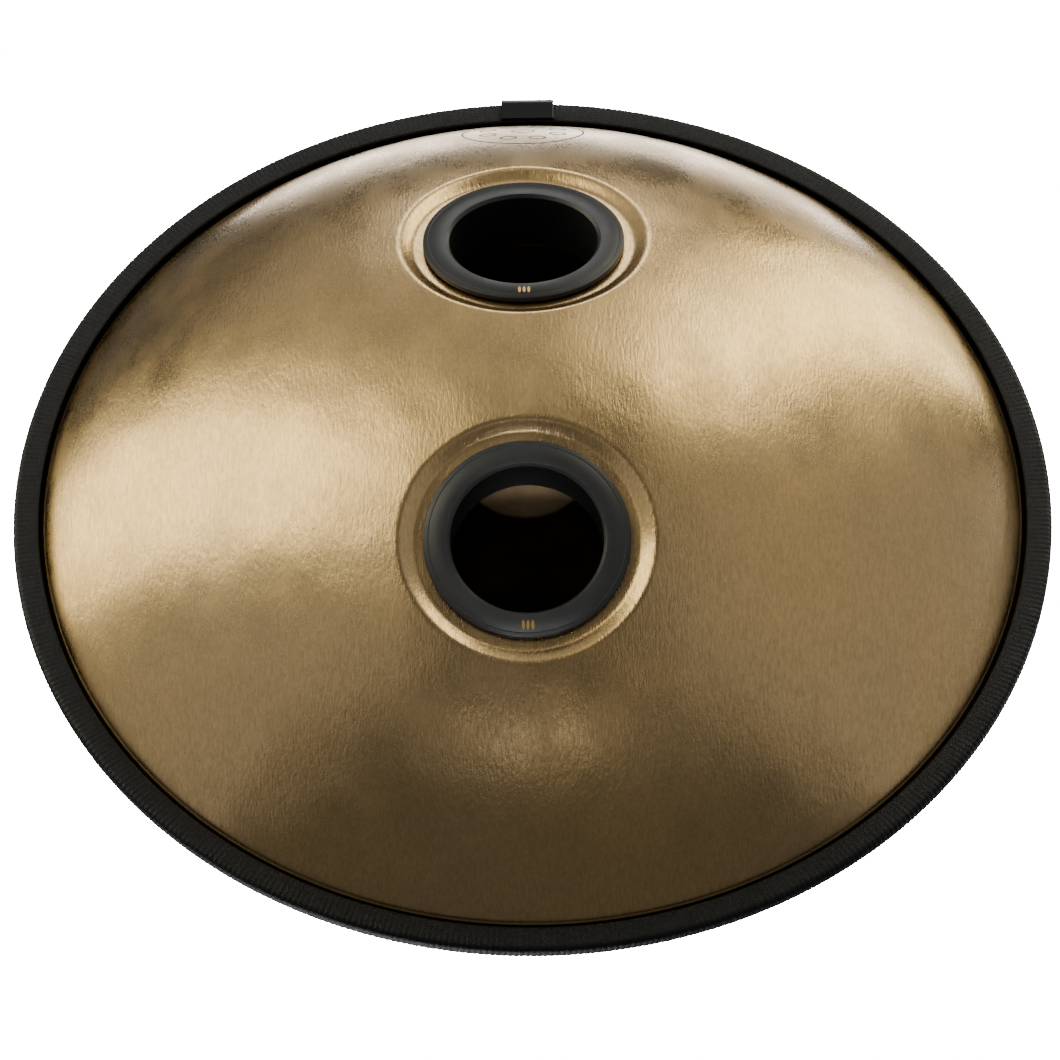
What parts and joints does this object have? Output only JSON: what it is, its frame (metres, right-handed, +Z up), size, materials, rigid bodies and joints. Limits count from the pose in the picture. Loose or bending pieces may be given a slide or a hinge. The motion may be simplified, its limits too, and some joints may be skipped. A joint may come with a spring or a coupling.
{
  "type": "handpan",
  "caption": "Domed steel handpan: upper and lower shells joined at a trimmed rim, dimpled tone fields round a raised ding, and screw-in sound ports underneath",
  "frame": {"origin": "lowest point of the bottom shell, under the middle of the instrument", "axes": "+Z up through the ding, square to the rim plane; +Y towards the joint clip of the edge trim; +X completes a right-handed frame"},
  "size_m": [0.55, 0.5523, 0.2632],
  "materials": {
    "shell_steel": "brushed, golden bronze tint",
    "adhesive": "cured film",
    "trim_plastic": "leather grain with fine cross ribs",
    "carrier_steel": "plain",
    "clip_plastic": "gloss",
    "ring_plastic": "satin",
    "gasket_rubber": "matt",
    "collar_plastic": "satin"
  },
  "bodies": {
    "shell": {"top_shell": "shell_steel", "bottom_shell": "shell_steel", "rim_adhesive": "adhesive", "rim_trim": "trim_plastic", "trim_core": "carrier_steel", "trim_joint_clip": "clip_plastic", "front_port_collar": "collar_plastic", "front_collar_bond": "adhesive", "rear_port_collar": "collar_plastic", "rear_collar_bond": "adhesive"},
    "front_gasket": {"front_port_gasket": "gasket_rubber"},
    "front_ring": {"front_port_ring": "ring_plastic"},
    "rear_gasket": {"rear_port_gasket": "gasket_rubber"},
    "rear_ring": {"rear_port_ring": "ring_plastic"}
  },
  "joints": [
    {"name": "front_ring_rise", "type": "slide", "parent": "shell", "child": "front_gasket", "axis": [0.0089, -0.2898, -0.957], "range_m": [0, 0.012]},
    {"name": "front_ring_turn", "type": "hinge", "parent": "front_gasket", "child": "front_ring", "pos_m": [0.00281, -0.09158, 0.03557], "axis": [0.0089, -0.2898, -0.957], "range_deg": [0, 1440]},
    {"name": "rear_ring_rise", "type": "slide", "parent": "shell", "child": "rear_gasket", "axis": [0.0089, 0.2898, -0.957], "range_m": [0, 0.012]},
    {"name": "rear_ring_turn", "type": "hinge", "parent": "rear_gasket", "child": "rear_ring", "pos_m": [0.00281, 0.09158, 0.03557], "axis": [0.0089, 0.2898, -0.957], "range_deg": [0, 1440]}
  ],
  "couplings": [
    {"joint": "front_ring_rise", "follows": "front_ring_turn", "m_per_rad": 0.00047746},
    {"joint": "rear_ring_rise", "follows": "rear_ring_turn", "m_per_rad": 0.00047746}
  ]
}
